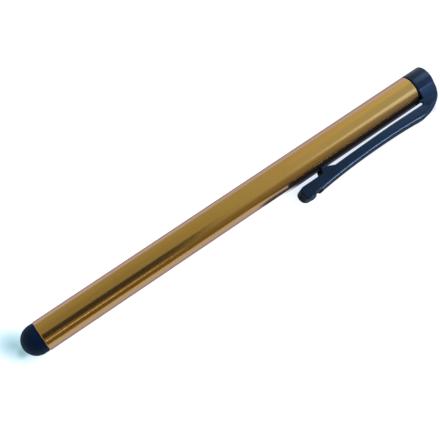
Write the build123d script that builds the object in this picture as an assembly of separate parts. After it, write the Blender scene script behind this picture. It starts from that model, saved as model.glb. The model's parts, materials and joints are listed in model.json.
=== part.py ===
from build123d import *
from math import asin, atan2, degrees, hypot, sqrt
import os

# A capacitive stylus pen, all sizes in millimetres and degrees.
# It is modelled with its axis on X: the barrel starts at x = 0 with the tip before it, the cap is at +X,
# and the clip stands out towards -Y. At the end the pen is rolled about its axis until the clip's paddle
# lies on the table beside the barrel, and moved so that the middle of its underside is the origin.

# Barrel: a drawn aluminium tube
barrel_diameter = 7.0
barrel_wall = 0.5
barrel_length = 99.4
barrel_edge_round = 0.15

# Tip: a hollow rubber dome whose skirt is tucked into the barrel
tip_step = 0.1
tip_straight = 1.0
tip_wall = 0.9
tip_seat_gap = 0.05
skirt_length = 5.0
skirt_wall = 0.8
skirt_clearance = 0.05

# Core: the stiff plug that holds the skirt in the barrel
core_set_back = 0.3
core_clearance = 0.05
core_flange_length = 2.0
core_flange_clearance = 0.02

# Cap: a moulded head, flush with the barrel, on a cored plug
cap_length = 4.9
cap_edge_round = 0.3
cap_shoulder_round = 0.15
plug_length = 8.0
plug_clearance = 0.02
plug_wall = 1.3
plug_floor = 1.0
plug_lead_in = 0.5

# Clip: gaps and thicknesses are measured away from the barrel, distances from the cap's shoulder
clip_width = 4.2
clip_reach = 36.6
clip_edge_round = 0.35
clip_root_gap = 1.15
clip_nub_gap = 1.36
clip_root_thickness = 2.7
clip_waist_thickness = 2.35
clip_waist_distance = 10.4
clip_nub_thickness = 3.1
root_round_drop = 5.0
root_inset = 0.1
gap_depth = 2.0
pivot_distance = 1.3
pivot_clearance = 0.05

# Paddle: the clip's free end, past a shallow groove in its outer face
paddle_length = 3.9
paddle_gap = 1.4
paddle_thickness = 3.45
paddle_tip_thickness = 3.2
paddle_end_round = 1.4
paddle_plan_radius = 4.5
groove_width = 0.9
groove_depth = 0.3

# Nub: the bump that grips a pocket's edge against the barrel, just behind the groove
nub_seat_gap = 0.05
nub_set_back = 1.85
nub_back = 0.5
nub_top = 0.3
nub_ramp = 2.9

# Radii about the pen's axis that follow from the sizes above
barrel_radius = barrel_diameter / 2
bore_radius = barrel_radius - barrel_wall
dome_radius = barrel_radius - tip_step
skirt_radius = bore_radius - skirt_clearance
skirt_bore_radius = skirt_radius - skirt_wall
plug_radius = bore_radius - plug_clearance

# Distances from the pen's axis of the clip's faces
root_inner = barrel_radius + clip_root_gap
root_outer = root_inner + clip_root_thickness
nub_inner = barrel_radius + clip_nub_gap
paddle_inner = barrel_radius + paddle_gap
paddle_outer = paddle_inner + paddle_thickness
groove_outer = nub_inner + clip_nub_thickness

# Distances from the cap's shoulder, worked back from the clip's free end
groove_end = clip_reach - paddle_length
groove_start = groove_end - groove_width
nub_end = groove_start - nub_set_back
nub_top_end = nub_end - nub_back
nub_top_start = nub_top_end - nub_top
nub_start = nub_top_start - nub_ramp

# The clip turns about the middle of its root. The socket's arc runs through the root's two corners.
pivot_height = (root_inner + root_outer) / 2
socket_radius = hypot(pivot_distance, clip_root_thickness / 2)
knuckle_radius = socket_radius - pivot_clearance


def filled(*curves):
    """The flat face inside curves that join up to one closed outline."""
    return make_face([edge for curve in curves for edge in curve.edges()])


def turned(*curves):
    """A solid of revolution from a closed outline of x and radius."""
    return revolve(filled(*curves), Axis.X)


def clip_plane(distance, height):
    """A point of the clip's side view: distance from the shoulder towards the tip, height from the axis."""
    return (barrel_length - distance, -height)


def across_clip(face):
    """The clip's side view drawn out to the clip's width, evenly about its middle plane."""
    return extrude(face, clip_width / 2, both=True)


def rims(moulding):
    """The edges around the two flat sides of a moulding drawn out across the clip."""
    return moulding.faces().filter_by(Axis.Z).edges()


def make_barrel():
    """The tube, with its two outer rims broken."""
    tube = turned(
        Polyline(
            (0, bore_radius),
            (0, barrel_radius),
            (barrel_length, barrel_radius),
            (barrel_length, bore_radius),
            close=True,
        )
    )
    circles = tube.edges().filter_by(GeomType.CIRCLE)
    outer_rims = [e for e in circles if e.radius > barrel_radius - barrel_wall / 2]
    return fillet(outer_rims, barrel_edge_round)


def make_tip():
    """The hollow dome: a short straight side, a round end of even wall, and the skirt behind its shoulder."""
    cavity_radius = dome_radius - tip_wall
    centre = -tip_straight
    apex = centre - dome_radius
    hollow_apex = centre - cavity_radius
    outside = CenterArc((centre, 0), dome_radius, 90, 90)
    inside = CenterArc((centre, 0), cavity_radius, 90, 90)
    back = Polyline(
        (centre, cavity_radius),
        (0, skirt_bore_radius),
        (skirt_length, skirt_bore_radius),
        (skirt_length, skirt_radius),
        (-tip_seat_gap, skirt_radius),
        (-tip_seat_gap, dome_radius),
        (centre, dome_radius),
    )
    return turned(outside, inside, back, Line((apex, 0), (hollow_apex, 0)))


def make_tip_core():
    """A stepped pin: its nose fills the skirt and its flange stops the skirt from behind."""
    nose_radius = skirt_bore_radius - core_clearance
    flange_radius = bore_radius - core_flange_clearance
    flange_start = skirt_length + core_clearance
    return turned(
        Polyline(
            (core_set_back, 0),
            (core_set_back, nose_radius),
            (flange_start, nose_radius),
            (flange_start, flange_radius),
            (flange_start + core_flange_length, flange_radius),
            (flange_start + core_flange_length, 0),
            close=True,
        )
    )


def make_cap_head():
    """The cap's round head and its plug, hollowed from inside as a moulding is."""
    end = barrel_length + cap_length
    plug_end = barrel_length - plug_length
    hollow_radius = plug_radius - plug_wall
    hollow_end = barrel_length - plug_floor
    shoulder = CenterArc(
        (barrel_length + cap_shoulder_round, barrel_radius - cap_shoulder_round), cap_shoulder_round, 90, 90
    )
    rim = CenterArc((end - cap_edge_round, barrel_radius - cap_edge_round), cap_edge_round, 0, 90)
    side = Line((barrel_length + cap_shoulder_round, barrel_radius), (end - cap_edge_round, barrel_radius))
    inside = Polyline(
        (end, barrel_radius - cap_edge_round),
        (end, 0),
        (hollow_end, 0),
        (hollow_end, hollow_radius),
        (plug_end, hollow_radius),
        (plug_end, plug_radius - plug_lead_in),
        (plug_end + plug_lead_in, plug_radius),
        (barrel_length, plug_radius),
        (barrel_length, barrel_radius - cap_shoulder_round),
    )
    return turned(shoulder, side, rim, inside)


def make_clip_root():
    """The block that carries the clip: a socket towards the arm, a round back down to the cap's end, and the gap
    beside the barrel carried on over the head."""
    depth = cap_length - root_inset
    socket = ThreePointArc(
        clip_plane(0, root_inner),
        clip_plane(pivot_distance - socket_radius, pivot_height),
        clip_plane(0, root_outer),
    )
    back = EllipticalCenterArc(
        clip_plane(0, root_outer - root_round_drop), depth, root_round_drop, start_angle=270, arc_size=90
    )
    foot = Polyline(
        clip_plane(-depth, root_outer - root_round_drop),
        clip_plane(-depth, 0),
        clip_plane(-gap_depth, 0),
        clip_plane(-gap_depth, root_inner),
        clip_plane(0, root_inner),
    )
    block = across_clip(filled(socket, back, foot))
    return fillet(rims(block).sort_by(SortBy.LENGTH)[-2:], clip_edge_round)


def make_end_cap():
    """The head, the plug and the clip's root as one moulding."""
    return make_cap_head() + make_clip_root()


def make_clip():
    """The spring arm, the floor of the groove and the paddle as one moulding."""
    return make_arm() + make_groove_floor() + make_paddle()


def make_arm():
    """The arm up to the groove, with its hollow back rounded along both sides and its root cut to the knuckle."""
    knuckle_back = sqrt(knuckle_radius**2 - (clip_root_thickness / 2) ** 2)
    root_start = pivot_distance - knuckle_back
    knuckle_end = pivot_distance - knuckle_radius
    nub_height = barrel_radius + nub_seat_gap
    waist_share = clip_waist_distance / nub_start
    waist_inner = root_inner + (nub_inner - root_inner) * waist_share
    inside = Polyline(
        clip_plane(knuckle_end, root_outer),
        clip_plane(knuckle_end, root_inner),
        clip_plane(nub_start, nub_inner),
        clip_plane(nub_top_start, nub_height),
        clip_plane(nub_top_end, nub_height),
        clip_plane(nub_end, paddle_inner),
        clip_plane(groove_start, paddle_inner),
        clip_plane(groove_start, groove_outer),
    )
    back = ThreePointArc(
        clip_plane(groove_start, groove_outer),
        clip_plane(clip_waist_distance, waist_inner + clip_waist_thickness),
        clip_plane(knuckle_end, root_outer),
    )
    arm = across_clip(filled(inside, back))
    arm = fillet(rims(arm).sort_by(SortBy.LENGTH)[-2:], clip_edge_round)
    knuckle = Pos(*clip_plane(pivot_distance, pivot_height)) * Circle(knuckle_radius)
    rest = Rectangle(groove_start - root_start, 2 * paddle_outer, align=(Align.MAX, Align.CENTER))
    return arm & across_clip(knuckle + Pos(*clip_plane(root_start, 0)) * rest)


def make_groove_floor():
    """The thinner length between the arm and the paddle."""
    floor = groove_outer - groove_depth
    return across_clip(
        filled(
            Polyline(
                clip_plane(groove_start, paddle_inner),
                clip_plane(groove_start, floor),
                clip_plane(groove_end, floor),
                clip_plane(groove_end, paddle_inner),
                close=True,
            )
        )
    )


def make_paddle():
    """The free end: tapered and rounded in side view, rounded along its sides, then trimmed in plan."""
    outline = filled(
        Polyline(
            clip_plane(groove_end, paddle_inner),
            clip_plane(groove_end, paddle_outer),
            clip_plane(clip_reach, paddle_inner + paddle_tip_thickness),
            clip_plane(clip_reach, paddle_inner),
            close=True,
        )
    )
    end_corners = outline.vertices().sort_by(Axis.X)[:2]
    paddle = across_clip(fillet(end_corners, paddle_end_round))
    return fillet(rims(paddle).sort_by(Axis.X)[:-2], clip_edge_round) & clip_plan()


def clip_plan():
    """The clip seen from outside, as a tall block: wider than the arm, with a slightly bowed free end."""
    start = barrel_length - clip_reach
    middle = start + paddle_plan_radius
    length = clip_reach + socket_radius
    rest = Pos(middle, 0) * Rectangle(length, 2 * paddle_plan_radius, align=(Align.MIN, Align.CENTER))
    plan = Pos(middle, 0) * Circle(paddle_plan_radius) + rest
    return extrude(Rot(90, 0, 0) * plan, 2 * paddle_outer)


def rest_roll():
    """The roll about the axis that brings the paddle's rounded edge down to the barrel's lowest line."""
    edge_height = paddle_outer - clip_edge_round
    edge_side = clip_width / 2 - clip_edge_round
    lowest = barrel_radius - clip_edge_round
    return degrees(asin(lowest / hypot(edge_height, edge_side)) - atan2(edge_side, edge_height))


parts = {
    "barrel": make_barrel(),
    "tip": make_tip(),
    "tip_core": make_tip_core(),
    "end_cap": make_end_cap(),
    "clip": make_clip(),
}

roll = rest_roll()
rolled = {name: Rot(roll, 0, 0) * solid for name, solid in parts.items()}
box = Compound(list(rolled.values())).bounding_box()
to_table = Pos(-box.center().X, -box.center().Y, -box.min.Z)

os.makedirs("parts", exist_ok=True)
for name, solid in rolled.items():
    export_step(to_table * solid, f"parts/{name}.step")
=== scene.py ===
import json

import bmesh
import bpy
import numpy as np
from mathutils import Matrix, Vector


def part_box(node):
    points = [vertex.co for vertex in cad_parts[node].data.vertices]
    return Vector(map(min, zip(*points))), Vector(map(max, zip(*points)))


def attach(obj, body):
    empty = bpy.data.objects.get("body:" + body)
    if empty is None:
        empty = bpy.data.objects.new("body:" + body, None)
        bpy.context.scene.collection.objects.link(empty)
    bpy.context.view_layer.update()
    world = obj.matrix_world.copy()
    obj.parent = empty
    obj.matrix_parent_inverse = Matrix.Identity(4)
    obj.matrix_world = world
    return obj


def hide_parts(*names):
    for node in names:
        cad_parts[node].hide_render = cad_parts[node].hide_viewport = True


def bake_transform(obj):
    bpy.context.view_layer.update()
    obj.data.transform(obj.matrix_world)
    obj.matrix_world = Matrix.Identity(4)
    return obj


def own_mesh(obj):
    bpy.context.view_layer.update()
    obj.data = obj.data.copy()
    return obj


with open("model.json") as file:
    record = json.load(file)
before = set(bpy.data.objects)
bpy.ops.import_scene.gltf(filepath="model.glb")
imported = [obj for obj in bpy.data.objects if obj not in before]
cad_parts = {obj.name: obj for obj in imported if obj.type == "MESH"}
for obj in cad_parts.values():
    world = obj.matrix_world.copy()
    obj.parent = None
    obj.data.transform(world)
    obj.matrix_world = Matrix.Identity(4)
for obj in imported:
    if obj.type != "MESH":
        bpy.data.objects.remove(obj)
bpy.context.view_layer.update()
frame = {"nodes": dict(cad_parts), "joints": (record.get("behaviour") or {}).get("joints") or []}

# Pen coordinates, in millimetres: x from the barrel's mouth towards the cap, out from the pen's axis
# towards the clip, side across the clip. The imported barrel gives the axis, and the clip's joint the way
# across.
MM = 0.001
barrel_low, barrel_high = (np.array(corner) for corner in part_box("barrel"))
mouth = (barrel_low + barrel_high) / 2
mouth[0] = barrel_low[0]
joints = {joint["name"]: joint for joint in frame["joints"]}
along = np.array([1.0, 0.0, 0.0])
across = np.array(joints["clip_flex"]["axis"], float)
outward = np.cross(along, across)

barrel_length = (barrel_high[0] - barrel_low[0]) / MM
barrel_radius = (barrel_high[2] - barrel_low[2]) / 2 / MM
cap_end = (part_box("end_cap")[1][0] - mouth[0]) / MM
clip_end = (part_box("clip")[0][0] - mouth[0]) / MM
tip_end = (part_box("tip")[0][0] - mouth[0]) / MM

# Points closer than WELD, in metres, are made one, and edges that turn by more than SHARP stay sharp
WELD = 2e-7
SHARP = np.radians(40)
AROUND = 160


def pen_point(x, out, side):
    """Points in the frame, in metres: the mouth plus x along the pen, out to the clip and side across."""
    x, out, side = np.broadcast_arrays(x, out, side)
    return mouth + MM * (x[..., None] * along + out[..., None] * outward + side[..., None] * across)


def arc(centre, radius, start, end, steps):
    """Points of a circle's arc from one angle to another, both in degrees."""
    angle = np.radians(np.linspace(start, end, steps))
    return np.stack([centre[0] + radius * np.cos(angle), centre[1] + radius * np.sin(angle)], axis=1)


def surface(name, points, material):
    """A closed piece from a grid of points: each cell is a face, and rows or ends that meet are welded."""
    rows, columns = points.shape[:2]
    index = np.arange(rows * columns).reshape(rows, columns)
    corners = [index[:-1, :-1], index[1:, :-1], index[1:, 1:], index[:-1, 1:]]
    mesh = bpy.data.meshes.new(name)
    mesh.from_pydata(points.reshape(-1, 3), [], np.stack(corners, axis=-1).reshape(-1, 4))
    shell = bmesh.new()
    shell.from_mesh(mesh)
    bmesh.ops.remove_doubles(shell, verts=shell.verts, dist=WELD)
    bmesh.ops.dissolve_degenerate(shell, edges=shell.edges, dist=WELD)
    bmesh.ops.recalc_face_normals(shell, faces=shell.faces)
    shell.to_mesh(mesh)
    shell.free()
    mesh.shade_smooth()
    mesh.set_sharp_from_angle(angle=SHARP)
    mesh.materials.append(material)
    piece = bpy.data.objects.new(name, mesh)
    bpy.context.scene.collection.objects.link(piece)
    return piece


def turned(name, profile, material):
    """A profile of x and radius carried once around the pen's axis."""
    turn = np.linspace(0, 2 * np.pi, AROUND + 1)
    x, radius = profile[:, :1], profile[:, 1:]
    return surface(name, pen_point(x, radius * np.cos(turn), radius * np.sin(turn)), material)


def linear(value):
    """A linear colour from an sRGB hex value."""
    srgb = np.array([int(value[k : k + 2], 16) for k in (1, 3, 5)]) / 255
    rgb = np.where(srgb <= 0.04045, srgb / 12.92, ((srgb + 0.055) / 1.055) ** 2.4)
    return (*rgb.tolist(), 1.0)


# The kinds of node that are used more than once, and settings that go with them
COORDINATES = "ShaderNodeTexCoord"
SEPARATE = "ShaderNodeSeparateXYZ"
MAPPING = "ShaderNodeMapping"
NOISE = "ShaderNodeTexNoise"
MATH = "ShaderNodeMath"
VECTOR_MATH = "ShaderNodeVectorMath"
RANGE = "ShaderNodeMapRange"
MIX = "ShaderNodeMix"
BUMP = "ShaderNodeBump"
PRINCIPLED = "ShaderNodeBsdfPrincipled"
EMISSION = "ShaderNodeEmission"
BACKGROUND = "ShaderNodeBackground"
LIGHT_PATH = "ShaderNodeLightPath"
OUTPUT = "ShaderNodeOutputMaterial"
SMOOTH = {"interpolation_type": "SMOOTHSTEP"}
COLOUR = {"data_type": "RGBA"}


def add(tree, kind, inputs, **settings):
    """Add a node with its settings. Inputs come by name or in the node's order, and each is a value,
    another node's output to link, or another node, whose first output in use is linked."""
    made = tree.nodes.new(kind)
    for key, value in settings.items():
        setattr(made, key, value)
    for socket, value in inputs.items() if isinstance(inputs, dict) else enumerate(inputs):
        if isinstance(value, bpy.types.Node):
            value = next(output for output in value.outputs if output.enabled)
        if isinstance(value, bpy.types.NodeSocket):
            tree.links.new(value, made.inputs[socket])
        else:
            made.inputs[socket].default_value = value
    return made


def new_material(name):
    """An empty node material and its tree."""
    material = bpy.data.materials.new(name)
    material.use_nodes = True
    material.node_tree.nodes.clear()
    return material, material.node_tree


def per_metre(millimetres):
    """The noise scale whose features are about this size."""
    return 1 / (millimetres * MM)


# Sizes of the materials' patterns, in millimetres. Drawing lines, etched grain, rubber grain and turning
# rings are finer than a pixel on the real pen, and are drawn as coarse as they need to show.
DRAWN_LINE = 0.25
ETCHED_GRAIN = 0.3
DYE_CLOUD = 9
ORANGE_PEEL = 0.35
FLOW_MARK = 4
RUBBER_GRAIN = 0.25
HANDLING_CLOUD = 2.5
TURNED_RING = 0.3
# A pattern that is drawn out to lines or rings is this many times longer than wide
DRAWN_OUT = 50
# Most of a noise lies between these two values
NOISE_SPREAD = (0.3, 0.7)


def anodised_aluminium():
    """Drawn aluminium tube, dyed bronze-gold and sealed.

    Anodising leaves a satin metal that mirrors the room in soft streaks along the tube, under a dyed oxide
    skin that scatters a little light of its own. At a slant its colour is painted paler and pinker, a
    painted sheen for the pale table mirrored there. Fine drawing lines run along it, the etched grain
    sparkles in a highlight, and the dye takes a little unevenly.
    """
    material, tree = new_material("satin_anodised_aluminium")
    place = add(tree, COORDINATES, {}).outputs["Object"]
    drawn = add(tree, MAPPING, {"Vector": place, "Scale": (1 / DRAWN_OUT, 1, 1)})
    lines = add(tree, NOISE, {"Vector": drawn, "Scale": per_metre(DRAWN_LINE), "Detail": 3})
    grain = add(tree, NOISE, {"Vector": place, "Scale": per_metre(ETCHED_GRAIN), "Detail": 2})
    cloud = add(tree, NOISE, {"Vector": place, "Scale": per_metre(DYE_CLOUD), "Detail": 2})
    dye = add(tree, MIX, {"Factor": cloud, "A": linear("#C19842"), "B": linear("#C9A049")}, **COLOUR)
    # Painted sheen: at a slant the colour turns paler and pinker, for the pale table mirrored there
    slant = add(tree, "ShaderNodeLayerWeight", {"Blend": 0.5}).outputs["Facing"]
    painted_sheen = add(tree, RANGE, {"Value": slant, "From Min": 0.27, "From Max": 0.47})
    metal = add(tree, MIX, {"Factor": painted_sheen, "A": dye, "B": linear("#C3A289")}, **COLOUR)
    satin = add(tree, RANGE, [grain, *NOISE_SPREAD, 0.15, 0.21])
    drawing = add(tree, BUMP, {"Height": lines, "Strength": 0.12, "Distance": 0.02 * MM})
    etch = add(tree, BUMP, {"Height": grain, "Strength": 0.15, "Distance": 0.03 * MM, "Normal": drawing})
    shader = add(
        tree,
        PRINCIPLED,
        {
            "Base Color": metal,
            "Metallic": 0.92,
            "Roughness": satin,
            "Normal": etch,
            "Specular Tint": linear("#B89A84"),
            "Coat Weight": 0.25,
            "Coat Roughness": 0.1,
        },
    )
    add(tree, OUTPUT, {"Surface": shader})
    return material


def moulded_plastic():
    """Black ABS, injection moulded in a lightly polished tool.

    Nearly black with a cold blue cast, a half-gloss skin that shows soft highlights along its rounded
    edges, a very fine orange peel, and slight flow marks where the gloss changes.
    """
    material, tree = new_material("moulded_black_abs")
    place = add(tree, COORDINATES, {}).outputs["Object"]
    peel = add(tree, NOISE, {"Vector": place, "Scale": per_metre(ORANGE_PEEL), "Detail": 2})
    flow = add(tree, NOISE, {"Vector": place, "Scale": per_metre(FLOW_MARK), "Detail": 3})
    tint = add(tree, MIX, {"Factor": flow, "A": linear("#08131E"), "B": linear("#0D1C29")}, **COLOUR)
    gloss = add(tree, RANGE, [flow, *NOISE_SPREAD, 0.28, 0.36])
    skin = add(tree, BUMP, {"Height": peel, "Strength": 0.15, "Distance": 0.03 * MM})
    shader = add(
        tree,
        PRINCIPLED,
        {
            "Base Color": tint,
            "Roughness": gloss,
            "IOR": 1.54,
            "Specular IOR Level": 0.3,
            "Specular Tint": linear("#B0E4FF"),
            "Normal": skin,
        },
    )
    add(tree, OUTPUT, {"Surface": shader})
    return material


def conductive_rubber():
    """Carbon-filled silicone rubber, moulded in a blasted tool.

    Matte blue-black with only a broad faint sheen, a fine even grain, and slight clouding from handling.
    """
    material, tree = new_material("conductive_silicone_rubber")
    place = add(tree, COORDINATES, {}).outputs["Object"]
    grain = add(tree, NOISE, {"Vector": place, "Scale": per_metre(RUBBER_GRAIN), "Detail": 3})
    cloud = add(tree, NOISE, {"Vector": place, "Scale": per_metre(HANDLING_CLOUD), "Detail": 2})
    tint = add(tree, MIX, {"Factor": cloud, "A": linear("#061728"), "B": linear("#0A2036")}, **COLOUR)
    matte = add(tree, RANGE, [cloud, *NOISE_SPREAD, 0.6, 0.72])
    skin = add(tree, BUMP, {"Height": grain, "Strength": 0.25, "Distance": 0.03 * MM})
    shader = add(
        tree,
        PRINCIPLED,
        {
            "Base Color": tint,
            "Roughness": matte,
            "IOR": 1.41,
            "Specular IOR Level": 0.3,
            "Specular Tint": linear("#8CC8FF"),
            "Normal": skin,
        },
    )
    add(tree, OUTPUT, {"Surface": shader})
    return material


def insert_plastic():
    """Natural grey acetal, turned from rod.

    A waxy, half-matte grey with faint turning rings across its axis.
    """
    material, tree = new_material("turned_grey_acetal")
    place = add(tree, COORDINATES, {}).outputs["Object"]
    ringed = add(tree, MAPPING, {"Vector": place, "Scale": (1, 1 / DRAWN_OUT, 1 / DRAWN_OUT)})
    rings = add(tree, NOISE, {"Vector": ringed, "Scale": per_metre(TURNED_RING), "Detail": 2})
    tint = add(tree, MIX, {"Factor": rings, "A": linear("#85868A"), "B": linear("#8E8F92")}, **COLOUR)
    groove = add(tree, BUMP, {"Height": rings, "Strength": 0.2, "Distance": 0.03 * MM})
    shader = add(tree, PRINCIPLED, {"Base Color": tint, "Roughness": 0.45, "IOR": 1.48, "Normal": groove})
    add(tree, OUTPUT, {"Surface": shader})
    return material


aluminium = anodised_aluminium()
plastic = moulded_plastic()
rubber = conductive_rubber()
acetal = insert_plastic()

# Barrel: outside, cap rim, bore and mouth rim as one closed profile
BARREL_WALL = 0.5
RIM_ROUND = 0.22
RIM_FLAT = 0.04
RIM_STEPS = 6
TUBE_STEPS = 100
BORE_STEPS = 60
bore_radius = barrel_radius - BARREL_WALL
rim_radius = barrel_radius - RIM_ROUND
tube_start = RIM_ROUND + RIM_FLAT
tube_end = barrel_length - RIM_ROUND - RIM_FLAT
barrel_profile = np.concatenate(
    [
        [(RIM_ROUND, barrel_radius)],
        np.linspace((tube_start, barrel_radius), (tube_end, barrel_radius), TUBE_STEPS),
        arc((barrel_length - RIM_ROUND, rim_radius), RIM_ROUND, 90, 0, RIM_STEPS),
        np.linspace((barrel_length, bore_radius), (0, bore_radius), BORE_STEPS),
        arc((RIM_ROUND, rim_radius), RIM_ROUND, 180, 90, RIM_STEPS),
    ]
)
barrel = turned("barrel_tube", barrel_profile, aluminium)
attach(barrel, "pen")
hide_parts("barrel")

# Tip: a straight collar, a round nose, and the skirt tucked into the bore
TIP_STEP = 0.1
TIP_WALL = 0.9
TIP_GAP = 0.05
TIP_EDGE = 0.08
SKIRT_LENGTH = 5.0
SKIRT_GAP = 0.05
SKIRT_WALL = 0.8
NOSE_STEPS = 40
COLLAR_STEPS = 6
EDGE_STEPS = 4
SKIRT_STEPS = 8
HOLLOW_STEPS = 24
nose_radius = barrel_radius - TIP_STEP
nose_centre = tip_end + nose_radius
hollow_radius = nose_radius - TIP_WALL
collar_end = -TIP_GAP - TIP_EDGE
skirt_radius = bore_radius - SKIRT_GAP
skirt_bore = skirt_radius - SKIRT_WALL
tip_profile = np.concatenate(
    [
        arc((nose_centre, 0), nose_radius, 180, 90, NOSE_STEPS),
        np.linspace((nose_centre, nose_radius), (collar_end, nose_radius), COLLAR_STEPS)[1:],
        arc((collar_end, nose_radius - TIP_EDGE), TIP_EDGE, 90, 0, EDGE_STEPS)[1:],
        np.linspace((-TIP_GAP, skirt_radius), (SKIRT_LENGTH, skirt_radius), SKIRT_STEPS),
        np.linspace((SKIRT_LENGTH, skirt_bore), (0, skirt_bore), SKIRT_STEPS),
        arc((nose_centre, 0), hollow_radius, 90, 180, HOLLOW_STEPS),
    ]
)
tip = turned("rubber_tip", tip_profile, rubber)
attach(tip, "pen")
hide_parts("tip")
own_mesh(tip)

# Cap: a round head flush with the barrel, and its hollow plug inside the bore
SEAM = 0.2
SHOULDER_EDGE = 0.25
HEAD_EDGE = 0.25
PLUG_GAP = 0.02
PLUG_LENGTH = 8.0
PLUG_WALL = 1.3
PLUG_FLOOR = 1.0
PLUG_LEAD = 0.5
shoulder = barrel_length + SEAM
plug_radius = bore_radius - PLUG_GAP
plug_end = barrel_length - PLUG_LENGTH
plug_floor = barrel_length - PLUG_FLOOR
cap_profile = np.concatenate(
    [
        [
            (plug_floor, 0),
            (plug_floor, plug_radius - PLUG_WALL),
            (plug_end, plug_radius - PLUG_WALL),
            (plug_end, plug_radius - PLUG_LEAD),
            (plug_end + PLUG_LEAD, plug_radius),
            (shoulder, plug_radius),
        ],
        arc((shoulder + SHOULDER_EDGE, barrel_radius - SHOULDER_EDGE), SHOULDER_EDGE, 180, 90, RIM_STEPS),
        arc((cap_end - HEAD_EDGE, barrel_radius - HEAD_EDGE), HEAD_EDGE, 90, 0, 2 * RIM_STEPS),
        [(cap_end, 0)],
    ]
)
cap = turned("end_cap_moulding", cap_profile, plastic)
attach(cap, "pen")
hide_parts("end_cap")

# Clip: a section from the inner line to the outer line, carried from inside the head up the neck, round the
# elbow at the end of the gap, and along the arm to the paddle's end. The gap ends past the barrel, in a
# round.
GAP_PAST_BARREL = 2.0
GAP_ROUND = 0.5
ROOT_GAP = 1.14
gap_end = barrel_length + GAP_PAST_BARREL
elbow = np.array([gap_end - GAP_ROUND, barrel_radius + ROOT_GAP - GAP_ROUND])
# The neck starts inside the head and leaves its circle by a fillet. Up to the lip it is set back from the
# cap's shoulder, and above it its inner side is the end of the gap, which leans along the pen by the slant
# for each millimetre across. On the arm the slant fades out.
ROOT_START = 1.0
NECK_HALF = 2.12
NECK_FILLET = 10.0
NECK_SET_BACK = 0.2
NECK_STEPS = 25
LIP = 3.62
LIP_STEP = 0.001
SLOT_SLANT = 0.53
SLANT_START = 94.0
fillet_side = NECK_HALF + NECK_FILLET
fillet_out = np.sqrt((barrel_radius + NECK_FILLET) ** 2 - fillet_side**2)
# The head's back is an oval quarter from the flat end to the arm, sunk a little so that no faces coincide
BACK_START = 2.4
BACK_X = 97.5
BACK_SINK = 0.03
back_end = cap_end - BACK_SINK
# The elbow's sections end on points traced up the back, from below the elbow to just short of the arm
ELBOW_STEPS = 26
TRACE_STEPS = 400
TRACE_BELOW = 0.2
TRACE_SHORT = 0.001
# The arm's section: half its width, the rounds of its edges and the height of its crown
ARM_HALF = 2.1
ARM_EDGE = 1.0
INNER_EDGE = 0.2
CROWN = 0.08
# No round takes up more than this share of the length beside it
ROUND_SHARE = 0.45
# The paddle: where it starts, the round of its outer edge and the length over which that grows into the
# arm's, and the rounds of its end in plan and in side view
PADDLE_START = 65.6
PADDLE_EDGE = 0.6
PADDLE_EDGE_FADE = 2
PADDLE_PLAN = 0.7
PADDLE_ROUND = 1.5
# Sections along the arm: wide apart, then close together from before the nub until past the groove, then
# along the paddle and round its end
NUB_FROM = 73.8
PAST_GROOVE = 0.2
ARM_STEPS = 60
NUB_STEPS = 140
PADDLE_STEPS = 12
END_STEPS = 30


def smooth_step(value, start, end):
    """0 before start, 1 after end, and an S-curve between them."""
    share = np.clip((value - start) / (end - start), 0, 1)
    return share * share * (3 - 2 * share)


def rounded(corners, radius, steps=7):
    """A line through corners, each but the ends replaced by a parabola that starts and ends radius away."""
    corners = np.array(corners, float)
    before = corners[:-2] - corners[1:-1]
    after = corners[2:] - corners[1:-1]
    length_before = np.linalg.norm(before, axis=1, keepdims=True)
    length_after = np.linalg.norm(after, axis=1, keepdims=True)
    reach = np.minimum(radius, np.minimum(length_before, length_after) * ROUND_SHARE)
    start = corners[1:-1] + before / length_before * reach
    end = corners[1:-1] + after / length_after * reach
    share = np.linspace(0, 1, steps)[None, :, None]
    towards = (1 - share) ** 2 * start[:, None] + 2 * share * (1 - share) * corners[1:-1, None]
    bends = towards + share**2 * end[:, None]
    return np.concatenate([corners[:1], bends.reshape(-1, 2), corners[-1:]])


# The arm's outer line in side view, at the crown: a curve of this degree fitted to measured points
ARM_BACK = np.array(
    [(99.0, 7.6), (96, 7.34), (92, 7.12), (86, 7.03), (80, 7.16), (75.3, 7.36), (71.1, 7.7), (67.9, 8.04)]
)
ARM_DEGREE = 4
arm_curve = np.polynomial.Polynomial.fit(ARM_BACK[:, 0], ARM_BACK[:, 1], ARM_DEGREE)
back_top = arm_curve(BACK_X)
# The inner line: along the gap, down to the nub's flat top, and straight under the paddle
ARM_FRONT = [(gap_end, 4.64), (96, 4.6), (90, 4.52), (84, 4.6), (78, 4.71), (73.35, 4.86)]
NUB = [(70.45, 3.55), (70.15, 3.55), (69.65, 4.9)]
NUB_ROUND = 0.25
inner_line = rounded([*ARM_FRONT, *NUB, (clip_end, 4.9)], NUB_ROUND)
# The paddle stands prouder than the arm, with a narrow groove between them
PADDLE_LINE = [(clip_end, 8.12), (PADDLE_START, 8.34), (68.4, 8.01)]
GROOVE = [(65.7, 7.72), (67.4, 7.72), (67.55, 8.09)]
GROOVE_ROUND = 0.08
paddle_line = np.array(PADDLE_LINE)
paddle_back = rounded([*PADDLE_LINE[:2], *GROOVE, PADDLE_LINE[2]], GROOVE_ROUND)


def back_x(height):
    """The x of the head's back at a height: the flat end, then an oval quarter up to the arm."""
    share = np.clip((height - BACK_START) / (back_top - BACK_START), 0, 1)
    return BACK_X + (back_end - BACK_X) * np.sqrt(1 - share**2)


def outer_height(x):
    """The outer line: the back's oval, the arm's curve, then the groove and the paddle."""
    share = np.clip((x - BACK_X) / (back_end - BACK_X), 0, 1)
    oval = BACK_START + (back_top - BACK_START) * np.sqrt(1 - share**2)
    arm = np.where(x > BACK_X, oval, arm_curve(x))
    paddle = np.interp(x, paddle_back[:, 0], paddle_back[:, 1])
    return np.where(x > paddle_back[-1, 0], arm, paddle)


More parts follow.
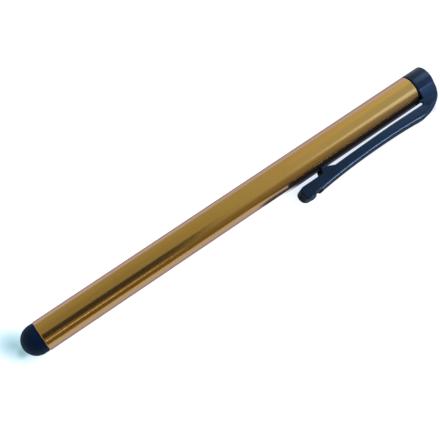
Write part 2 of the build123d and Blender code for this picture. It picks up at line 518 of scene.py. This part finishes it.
def stations(inner_x, inner_out, outer_x, outer_out, half, slant, round_in, round_out, crown):
    """Sections as rows: the ends of the section's middle line, half its width, the lean of its inner side,
    the rounds at its inner and outer corners, and the crown of its outer face."""
    columns = [inner_x, inner_out, outer_x, outer_out, half, slant, round_in, round_out, crown]
    return np.stack(np.broadcast_arrays(*columns), 1)


def neck_sections():
    """The neck: its outline seen along the pen starts inside the head, leaves the head's circle by a wide
    fillet and rises to the elbow; x runs from the gap's end to the back."""
    touch = np.arctan2(fillet_side, fillet_out)
    bend_end = 2 * np.pi - np.arccos((elbow[1] - fillet_out) / NECK_FILLET)
    bend = np.linspace(touch + np.pi, bend_end, NECK_STEPS)[:-1]
    fillet_height = fillet_out + NECK_FILLET * np.cos(bend)
    fillet_half = fillet_side + NECK_FILLET * np.sin(bend)
    lip_half = np.interp(LIP, fillet_height, fillet_half)
    height = np.concatenate([[ROOT_START, ROOT_START], fillet_height, [LIP, LIP + LIP_STEP]])
    half = np.concatenate([[0, NECK_HALF], fillet_half, [lip_half, lip_half]])
    order = np.argsort(height, kind="stable")
    height, half = height[order], half[order]
    slot_end = elbow[0] + np.sqrt(GAP_ROUND**2 - np.clip(elbow[1] - height, 0, GAP_ROUND) ** 2)
    inner_x = np.where(height > LIP, slot_end, shoulder + NECK_SET_BACK)
    slant = np.where(height > LIP, SLOT_SLANT, 0)
    return stations(inner_x, height, back_x(height), height, half, slant, INNER_EDGE, HEAD_EDGE, 0)


def elbow_sections():
    """The elbow: sections fan about the end of the gap, from along the pen to across it."""
    height = np.linspace(elbow[1] - TRACE_BELOW, back_top - TRACE_SHORT, TRACE_STEPS)
    bearing = np.arctan2(height - elbow[1], back_x(height) - elbow[0])
    reach = np.hypot(back_x(height) - elbow[0], height - elbow[1])
    turn = np.linspace(0, np.pi / 2, ELBOW_STEPS)
    outer_reach = np.interp(turn, bearing, reach)
    share = smooth_step(turn, 0, np.pi / 2)
    elbow_half = fillet_side - np.sqrt(NECK_FILLET**2 - (fillet_out - elbow[1]) ** 2)
    return stations(
        elbow[0] + GAP_ROUND * np.cos(turn),
        elbow[1] + GAP_ROUND * np.sin(turn),
        elbow[0] + outer_reach * np.cos(turn),
        elbow[1] + outer_reach * np.sin(turn),
        elbow_half + (ARM_HALF - elbow_half) * share,
        SLOT_SLANT,
        INNER_EDGE,
        HEAD_EDGE + (ARM_EDGE - HEAD_EDGE) * share,
        0,
    )


def arm_sections():
    """The arm and the paddle: sections across the pen from the inner line to the outer line, both rounded
    off at the paddle's end. In the groove the outer edge is rounded less, by the groove's depth."""
    end_turn = np.linspace(0, np.pi / 2, END_STEPS)
    paddle_from = PADDLE_START - PAST_GROOVE
    x = np.concatenate(
        [
            np.linspace(elbow[0], NUB_FROM, ARM_STEPS)[1:],
            np.linspace(NUB_FROM, paddle_from, NUB_STEPS)[1:],
            np.linspace(paddle_from, clip_end + PADDLE_ROUND, PADDLE_STEPS)[1:],
            clip_end + PADDLE_ROUND * (1 - np.sin(end_turn))[1:],
        ]
    )
    inset = np.clip(clip_end + PADDLE_ROUND - x, 0, PADDLE_ROUND)
    end_round = PADDLE_ROUND - np.sqrt(PADDLE_ROUND**2 - inset**2)
    inner = np.interp(x, inner_line[::-1, 0], inner_line[::-1, 1]) + end_round
    outer = outer_height(x) - end_round
    plan_inset = np.clip(clip_end + PADDLE_PLAN - x, 0, PADDLE_PLAN)
    half = ARM_HALF - PADDLE_PLAN + np.sqrt(PADDLE_PLAN**2 - plan_inset**2)
    root = smooth_step(x, SLANT_START, elbow[0])
    on_arm = smooth_step(x, PADDLE_START, PADDLE_START + PADDLE_EDGE_FADE)
    edge = PADDLE_EDGE + (ARM_EDGE - PADDLE_EDGE) * on_arm
    depth = np.where(x < paddle_line[-1, 0], np.interp(x, *paddle_line.T) - outer_height(x), 0)
    edge = np.maximum(edge - depth, INNER_EDGE)
    limit = np.minimum(half, (outer - inner) * ROUND_SHARE)
    round_in, round_out = np.minimum(INNER_EDGE, limit), np.minimum(edge, limit)
    return stations(x, inner, x, outer, half, SLOT_SLANT * root, round_in, round_out, CROWN * (1 - root))


# Points across half a face, round a corner and up a side, and the least half width that a crown is set on
FACE_STEPS = 9
CORNER_STEPS = 7
SIDE_STEPS = 9
NO_WIDTH = 1e-6


def moulding(sections):
    """Carry a rounded section along its stations. From the middle of the inner face it goes to the inner
    corner, up the side, round the outer corner and over the crowned outer face to the middle, then back
    mirrored. The inner side may lean along the pen, as the end of the gap does."""
    columns = [sections[:, k : k + 1] for k in range(sections.shape[1])]
    inner_x, inner_out, outer_x, outer_out, half, slant, round_in, round_out, crown = columns
    thickness = np.hypot(outer_x - inner_x, outer_out - inner_out)
    step_x = (outer_x - inner_x) / thickness
    step_out = (outer_out - inner_out) / thickness
    face = np.linspace(0, 1, FACE_STEPS)[None, :-1]
    corner = np.linspace(0, np.pi / 2, CORNER_STEPS)[None, :]
    side = np.linspace(0, 1, SIDE_STEPS)[None, 1:-1]
    inner_flat = half - round_in
    outer_flat = half - round_out
    drop = crown * (outer_flat / np.maximum(half, NO_WIDTH)) ** 2
    edge = thickness - drop
    depth = np.concatenate(
        [
            0 * face * half,
            round_in * (1 - np.cos(corner)),
            round_in + (edge - round_out - round_in) * side,
            edge - round_out * (1 - np.sin(corner)),
            thickness - drop * (1 - face) ** 2,
        ],
        1,
    )
    width = np.concatenate(
        [
            inner_flat * face,
            half - round_in * (1 - np.sin(corner)),
            half + 0 * side,
            half - round_out * (1 - np.cos(corner)),
            outer_flat * (1 - face),
        ],
        1,
    )
    depth = np.concatenate([depth, thickness, depth[:, ::-1]], 1)
    width = np.concatenate([width, 0 * half, -width[:, ::-1]], 1)
    lean = slant * (half + width) * (1 - depth / thickness)
    return pen_point(inner_x + step_x * depth - lean, inner_out + step_out * depth, width)


clip_stations = np.concatenate([neck_sections(), elbow_sections(), arm_sections()])
clip = surface("sprung_clip", moulding(clip_stations), plastic)
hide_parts("clip")
# The real clip bends between these two places along the pen; their points are worked out here, but nothing
# makes the clip bend
BEND_START = 101.0
BEND_END = 92.0
pen_point(BEND_START, 0, 0).tolist()
pen_point(BEND_END, 0, 0).tolist()
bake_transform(clip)

# Core: out of sight inside the tip, so it keeps its own mesh
core = frame["nodes"]["tip_core"]
core.data.materials.clear()
core.data.materials.append(acetal)

# Where painted shadows and painted shade change the table's glow and colour, in metres: centres and sizes
# of the painted shadow beside the tip and of the painted shade round the paddle, and pairs of places or
# distances between which one level runs over into another
TIP_SHADE = (-0.0556, 0.0052, 0.0)
TIP_SHADE_TURN = np.radians(127)
TIP_SHADE_SIZE = (0.0050, 0.0032, 1.0)
TIP_CONTACT = (-0.0549, 0.0030, 0.0)
TIP_CONTACT_REACH = (0.0002, 0.0018)
CLIP_SHADE_X = (0.010, 0.016)
CLIP_SHADE_Y = (0.004, 0.007)
PALE_STRIP_BACK = (-0.0085, -0.0060)
PALE_STRIP_FRONT = (-0.018, -0.012)
SLOT_SHADE_Y = (-0.00055, -0.00045)
SLOT_SHADE_END = (0.0530, 0.0545)
SLOT_SHADE_BACK = (0.0010, 0.0028)
SLOT_BLUE_Y = (-0.0045, -0.0035)
PADDLE_SHADE = (0.0100, -0.0035, 0.0)
PADDLE_SHADE_REACH = (0.003, 0.006)
# Painted shade farther out in front: from where it is full to where it ends
FRONT_SHADE_Y = (-0.06, -0.03)
# The painted shadow beside the tip: how far it reaches, in its own radii, its level in the middle and that
# at the contact, and the level below which it is fully blue
TIP_SHADE_REACH = 1.74
TIP_SHADE_LEVEL = 0.27
TIP_CONTACT_LEVEL = 0.4
TIP_BLUE_LEVEL = 0.33
# The glow in the open and in the deepest painted shadow, what painted shade adds so that it looks as white
# to the camera, what the painted shadow under the pen and the painted shade in the gap take off, and the
# part that reflections see in the open and in painted shade
OPEN_GLOW = 0.95
SHADOW_GLOW = 0.3
SHADE_GLOW = 0.15
UNDER_PEN_LOSS = 0.95
GAP_LOSS = 0.13
MIRRORED_OPEN = 0.46
MIRRORED_SHADE = 0.1


def white_table():
    """Matte white laminate that adds its own light, in full for the camera and a part of it in reflections,
    so that it shows as white. Beside the tip a painted shadow, an oval where the colour is darker and the
    glow weaker and bluer, deepens the pen's own shadow, and under the pen beside the gap the glow is nearly
    off, a painted contact shadow. On the clip's side, but for a strip close to the clip, farther out in
    front and round the paddle the table is painted dark to all but the camera, a painted shade that shows
    in the pen, and in the gap the glow is painted a little weaker and bluer."""
    material, tree = new_material("matte_white_laminate")
    place = add(tree, COORDINATES, {}).outputs["Object"]
    split = add(tree, SEPARATE, [place])
    x, y = split.outputs["X"], split.outputs["Y"]
    # Painted shadow beside the tip: an oval that is darkest where the tip meets the table
    oval = {"Location": TIP_SHADE, "Rotation": (0, 0, TIP_SHADE_TURN), "Scale": TIP_SHADE_SIZE}
    oval = add(tree, MAPPING, {"Vector": place, **oval}, vector_type="TEXTURE")
    from_tip = add(tree, VECTOR_MATH, [oval], operation="LENGTH")
    from_contact = add(tree, VECTOR_MATH, [place, TIP_CONTACT], operation="DISTANCE")
    open_floor = add(tree, RANGE, [from_tip, 0, TIP_SHADE_REACH, TIP_SHADE_LEVEL, 1])
    contact = add(tree, RANGE, [from_contact, *TIP_CONTACT_REACH, TIP_CONTACT_LEVEL, 1], **SMOOTH)
    clear = add(tree, MATH, [open_floor, contact], operation="MULTIPLY")
    lit = add(tree, RANGE, [clear, 0, 1, 0, 1], **SMOOTH)
    plain = add(tree, RANGE, [clear, TIP_BLUE_LEVEL, 1, 0, 1], **SMOOTH)
    # Painted shade, dark to reflections: on the clip's side but for a strip beside it, farther out in front
    # and round the paddle
    beside_clip = add(tree, RANGE, [x, *CLIP_SHADE_X, 0, 1], **SMOOTH)
    not_behind = add(tree, RANGE, [y, *CLIP_SHADE_Y, 1, 0], **SMOOTH)
    from_clip = add(tree, RANGE, [y, *PALE_STRIP_BACK, 1, 0], **SMOOTH)
    strip = add(tree, RANGE, [y, *PALE_STRIP_FRONT, 0, 1], **SMOOTH)
    strip = add(tree, MATH, [strip, from_clip], operation="MULTIPLY")
    not_strip = add(tree, MATH, [1, strip], operation="SUBTRACT")
    clip_side = add(tree, MATH, [beside_clip, not_behind], operation="MULTIPLY")
    clip_side = add(tree, MATH, [clip_side, not_strip], operation="MULTIPLY")
    in_front = add(tree, RANGE, [y, *FRONT_SHADE_Y, 1, 0], **SMOOTH)
    from_paddle = add(tree, VECTOR_MATH, [place, PADDLE_SHADE], operation="DISTANCE")
    round_paddle = add(tree, RANGE, [from_paddle, *PADDLE_SHADE_REACH, 1, 0], **SMOOTH)
    shade = add(tree, MATH, [clip_side, in_front], operation="MAXIMUM")
    shade = add(tree, MATH, [shade, round_paddle], operation="MAXIMUM")
    # The camera sees the whole glow, and a reflection a part of it
    path = add(tree, LIGHT_PATH, {})
    bounced = [path.outputs["Is Glossy Ray"], path.outputs["Is Transmission Ray"]]
    bounced = add(tree, MATH, bounced, operation="MAXIMUM")
    part = add(tree, MATH, [shade, MIRRORED_SHADE - MIRRORED_OPEN, MIRRORED_OPEN], operation="MULTIPLY_ADD")
    mirrored = add(tree, MATH, [part, bounced], operation="MULTIPLY")
    seen = add(tree, MATH, [mirrored, path.outputs["Is Camera Ray"]], operation="MAXIMUM")
    glow = add(tree, MATH, [clear, OPEN_GLOW - SHADOW_GLOW, SHADOW_GLOW], operation="MULTIPLY_ADD")
    glow = add(tree, MATH, [shade, SHADE_GLOW, glow], operation="MULTIPLY_ADD")
    # Painted contact shadow under the pen: the glow is nearly off up to the line where the gap starts to
    # show the table
    before_end = add(tree, RANGE, [x, *SLOT_SHADE_END, 1, 0], **SMOOTH)
    beside_gap = add(tree, MATH, [beside_clip, before_end], operation="MULTIPLY")
    from_line = add(tree, RANGE, [y, *SLOT_SHADE_Y, 0, UNDER_PEN_LOSS], **SMOOTH)
    to_axis = add(tree, RANGE, [y, *SLOT_SHADE_BACK, 1, 0], **SMOOTH)
    under = add(tree, MATH, [from_line, to_axis], operation="MULTIPLY")
    under = add(tree, MATH, [under, beside_gap], operation="MULTIPLY")
    open_light = add(tree, MATH, [1, under], operation="SUBTRACT")
    glow = add(tree, MATH, [glow, open_light], operation="MULTIPLY")
    # Painted shade in the gap: the glow a little weaker and bluer
    from_arm = add(tree, RANGE, [y, *SLOT_BLUE_Y, 0, 1], **SMOOTH)
    gap = add(tree, MATH, [from_arm, not_behind], operation="MULTIPLY")
    gap = add(tree, MATH, [gap, beside_gap], operation="MULTIPLY")
    gap_light = add(tree, MATH, [gap, -GAP_LOSS, 1], operation="MULTIPLY_ADD")
    glow = add(tree, MATH, [glow, gap_light], operation="MULTIPLY")
    strength = add(tree, MATH, [seen, glow], operation="MULTIPLY")
    # The glow's colour, painted blue in the shadow beside the tip and bluer in the gap
    hue = add(tree, MIX, {"Factor": plain, "A": linear("#B2F1FF"), "B": linear("#F7FCFF")}, **COLOUR)
    hue = add(tree, MIX, {"Factor": gap, "A": hue, "B": linear("#E6EEFF")}, **COLOUR)
    # The table's own colour, painted darker in the shadow beside the tip and in the shade on the clip's
    # side, in front and round the paddle
    body = add(tree, MIX, {"Factor": lit, "A": linear("#909090"), "B": linear("#E6E6E6")}, **COLOUR)
    body = add(tree, MIX, {"Factor": shade, "A": body, "B": linear("#303034")}, **COLOUR)
    matte = add(tree, "ShaderNodeBsdfDiffuse", {"Color": body})
    light = add(tree, EMISSION, {"Color": hue, "Strength": strength})
    both = add(tree, "ShaderNodeAddShader", [matte, light])
    add(tree, OUTPUT, {"Surface": both})
    return material


def dark_paper():
    """Blue-black card with an even, faint light of its own, as a thing in shade has."""
    material, tree = new_material("black_card")
    paper = add(tree, EMISSION, {"Color": linear("#262450"), "Strength": 1.0})
    add(tree, OUTPUT, {"Surface": paper})
    return material


def board(name, corners, material):
    """A flat face through four corners, in millimetres in the frame, that isn't part of the pen."""
    mesh = bpy.data.meshes.new(name)
    mesh.from_pydata(np.array(corners) * MM, [], [(0, 1, 2, 3)])
    mesh.materials.append(material)
    piece = bpy.data.objects.new(name, mesh)
    bpy.context.scene.collection.objects.link(piece)
    return piece


# Table: a plain square far larger than the pen
TABLE_CORNERS = [(-3000, -3000, 0), (3000, -3000, 0), (3000, 3000, 0), (-3000, 3000, 0)]
board("table", TABLE_CORNERS, white_table())

# Card: a dark board over the pen that only reflections see, as a camera over a table is seen in metal
CARD_CORNERS = [(-110, -110, 157), (28, -210, 157), (28, -50, 175), (-110, -20, 181)]
card = board("camera_over_table", CARD_CORNERS, dark_paper())
card.visible_camera = False
card.visible_diffuse = False
card.visible_shadow = False

# Camera: fitted to the barrel's outline, its two ends and the cap's rim in the photograph
CAMERA_PLACE = np.array([3.8, -55.698, 173.478])
CAMERA_TURN = np.radians([21.639, -0.363, -35.876])
camera_data = bpy.data.cameras.new("camera")
camera_data.lens = 70.25
camera_data.sensor_width = 36
camera_data.clip_start = 0.01
camera = bpy.data.objects.new("camera", camera_data)
camera.location = mouth + MM * CAMERA_PLACE
camera.rotation_euler = CAMERA_TURN
bpy.context.scene.collection.objects.link(camera)
bpy.context.scene.camera = camera

LAMP_DISTANCE = 0.6


def soft_box(name, way, size, power, colour, distance=LAMP_DISTANCE, lights=()):
    """A rectangular soft lamp that looks at the pen's middle from a direction, with sizes in metres and
    power in watts. It lights the whole scene, or only the pieces that are given."""
    lamp = bpy.data.lights.new(name, "AREA")
    lamp.shape = "RECTANGLE"
    lamp.size, lamp.size_y = size
    lamp.energy = power
    lamp.color = linear(colour)[:3]
    body = bpy.data.objects.new(name, lamp)
    way = Vector(way).normalized()
    body.location = way * distance
    body.rotation_euler = way.to_track_quat("Z", "Y").to_euler()
    body.visible_camera = False
    bpy.context.scene.collection.objects.link(body)
    if lights:
        receivers = bpy.data.collections.new(name + "_receivers")
        for piece in lights:
            receivers.objects.link(piece)
        body.light_linking.receiver_collection = receivers
    return body


soft_box("window", (0.88, -0.31, 0.36), size=(0.36, 0.36), power=0.6, colour="#E4F0FF")
soft_box("side_window", (0.60, -0.57, 0.57), size=(0.18, 0.34), power=0.42, colour="#8FA2FF")
soft_box("near_strip", (-0.10, -0.88, 0.45), size=(0.25, 0.035), power=0.07, colour="#F4E6FF")
# A narrow lamp that is flagged off everything but the clip, for the line along its rounded edge
edge_light = soft_box(
    "edge_light", (0.40, -0.81, 0.36), size=(0.12, 0.04), power=3.4, colour="#DFDDFF", lights=[clip]
)
edge_light.visible_diffuse = False
# A small lamp near the cap that is flagged off the barrel, for the soft sheen on the black mouldings
soft_box(
    "cap_light",
    (0.755, 0.163, 0.635),
    size=(0.06, 0.06),
    power=0.042,
    colour="#E6E2FF",
    distance=0.138,
    lights=[clip, cap],
)

# The room's light changes with the direction that it comes from. Each row has the two ends of a change
# along one axis of that direction, and the values there.
ALONG_LEVEL = (0.06, 0.75, 0.42, 1.75)
LOW_LEVEL = (-0.1, 0.6, 0.5, 1)
BEHIND_SHARE = (0.3, 0.85, 0, 1)
BEHIND_GAIN = (0.05, 0.4, 0.3, -0.22)
TABLE_SHARE = (0.06, 0.18, 1, 0)
BACK_WALL = (0, 0.6, 0, 0.3)
TIP_WALL = (-0.95, -0.5, 0.6, 0)
CAP_SHARE = (0.2, 0.6, 0, 1)
NEAR_SHARE = (0.2, 0.7, 1, 0)
# A direction counts as lower by this much of its way towards the clip's side
CLIP_SIDE_TILT = 0.5


def room_light():
    """The room: pale, brighter and bluer towards the cap, dim and warm low down on the clip's side, and
    with white walls low down behind the pen and beyond its tip."""
    world = bpy.data.worlds.new("room")
    bpy.context.scene.world = world
    world.use_nodes = True
    tree = world.node_tree
    tree.nodes.clear()
    way = add(tree, COORDINATES, {}).outputs["Generated"]
    split = add(tree, SEPARATE, [way])
    x, y, z = split.outputs["X"], split.outputs["Y"], split.outputs["Z"]
    side = add(tree, RANGE, [x, *ALONG_LEVEL], **SMOOTH)
    slope = add(tree, MATH, [y, CLIP_SIDE_TILT, z], operation="MULTIPLY_ADD")
    low = add(tree, RANGE, [slope, *LOW_LEVEL], **SMOOTH)
    behind = add(tree, RANGE, [y, *BEHIND_SHARE], **SMOOTH)
    gain = add(tree, RANGE, [x, *BEHIND_GAIN], **SMOOTH)
    gain = add(tree, MATH, [behind, gain, 1], operation="MULTIPLY_ADD")
    side = add(tree, MATH, [side, gain], operation="MULTIPLY")
    near_table = add(tree, RANGE, [z, *TABLE_SHARE], **SMOOTH)
    back_wall = add(tree, RANGE, [y, *BACK_WALL], **SMOOTH)
    tip_wall = add(tree, RANGE, [x, *TIP_WALL], **SMOOTH)
    walls = add(tree, MATH, [near_table, back_wall, tip_wall], operation="MULTIPLY_ADD")
    level = add(tree, MATH, [side, low, walls], operation="MULTIPLY_ADD")
    capward = add(tree, RANGE, [x, *CAP_SHARE], **SMOOTH)
    near = add(tree, RANGE, [y, *NEAR_SHARE], **SMOOTH)
    daylight = add(tree, MATH, [capward, near], operation="MULTIPLY")
    hue = add(tree, MIX, {"Factor": low, "A": linear("#F0B48C"), "B": linear("#F4F3F2")}, **COLOUR)
    hue = add(tree, MIX, {"Factor": daylight, "A": hue, "B": linear("#A7BCFF")}, **COLOUR)
    room = add(tree, BACKGROUND, {"Color": hue, "Strength": level})
    # The camera sees plain white beyond the table
    white = add(tree, BACKGROUND, {"Color": linear("#FFFFFF")})
    to_camera = add(tree, LIGHT_PATH, {}).outputs["Is Camera Ray"]
    both = add(tree, "ShaderNodeMixShader", [to_camera, room, white])
    add(tree, "ShaderNodeOutputWorld", {"Surface": both})


room_light()
bpy.context.scene.view_settings.view_transform = "Standard"

bpy.context.view_layer.update()
